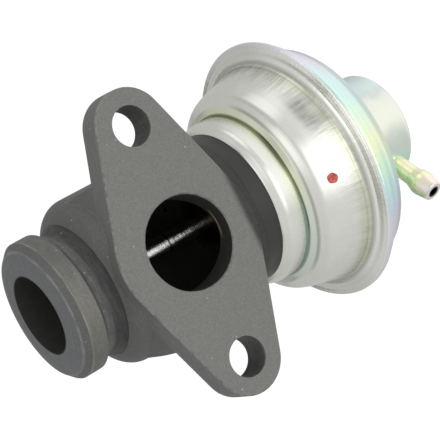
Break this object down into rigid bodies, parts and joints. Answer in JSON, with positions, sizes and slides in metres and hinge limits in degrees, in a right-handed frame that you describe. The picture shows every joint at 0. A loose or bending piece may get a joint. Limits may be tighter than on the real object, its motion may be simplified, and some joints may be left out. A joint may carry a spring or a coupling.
{
  "type": "vacuum-operated exhaust gas recirculation valve",
  "caption": "Exhaust gas recirculation valve: cast-iron body with a bolted flange port and pipe stub, and a spring-loaded diaphragm actuator with a vacuum nipple.",
  "frame": {"origin": "centre of the gas port in the mounting face of the flange", "axes": "+X along the stem from the pipe stub to the vacuum cap, -Y out of the mounting face, Z through the two bolt holes"},
  "size_m": [0.1015, 0.0656, 0.072],
  "materials": {
    "cast_body": "dark phosphated, matt",
    "seat_steel": "turned",
    "bronze": "turned",
    "seal": "matt",
    "stem_steel": "ground, bright",
    "insulator": "smooth thermoset",
    "zinc_housing": "pressed and zinc-plated, satin",
    "passivated_cover": "zinc-plated and passivated, iridescent",
    "inner_steel": "zinc-plated",
    "screw_steel": "zinc-plated",
    "diaphragm_rubber": "fabric-reinforced",
    "spring_steel": "drawn wire",
    "spring_seat": "moulded"
  },
  "bodies": {
    "valve_housing": {"valve_body": "cast_body", "valve_seat": "seat_steel", "stem_guide": "bronze", "guide_seal": "seal", "seal_retainer": "inner_steel", "heat_insulator": "insulator", "lower_housing": "zinc_housing", "reinforcing_plate": "inner_steel", "lock_washers": "screw_steel", "housing_screws": "screw_steel", "upper_cover": "passivated_cover", "vacuum_nipple": "passivated_cover", "diaphragm": "diaphragm_rubber", "return_spring": "spring_steel", "spring_seat": "spring_seat"},
    "valve_stem": {"stem": "stem_steel", "poppet": "seat_steel", "lower_disc": "inner_steel", "upper_disc": "inner_steel", "nut_washer": "inner_steel", "stem_nut": "screw_steel"}
  },
  "joints": [
    {"name": "valve_lift", "type": "slide", "parent": "valve_housing", "child": "valve_stem", "axis": [1, 0, 0], "range_m": [0, 0.005], "stiffness_N_per_m": 1800, "springref_m": -0.01, "deforming": ["return_spring", "diaphragm"]}
  ]
}
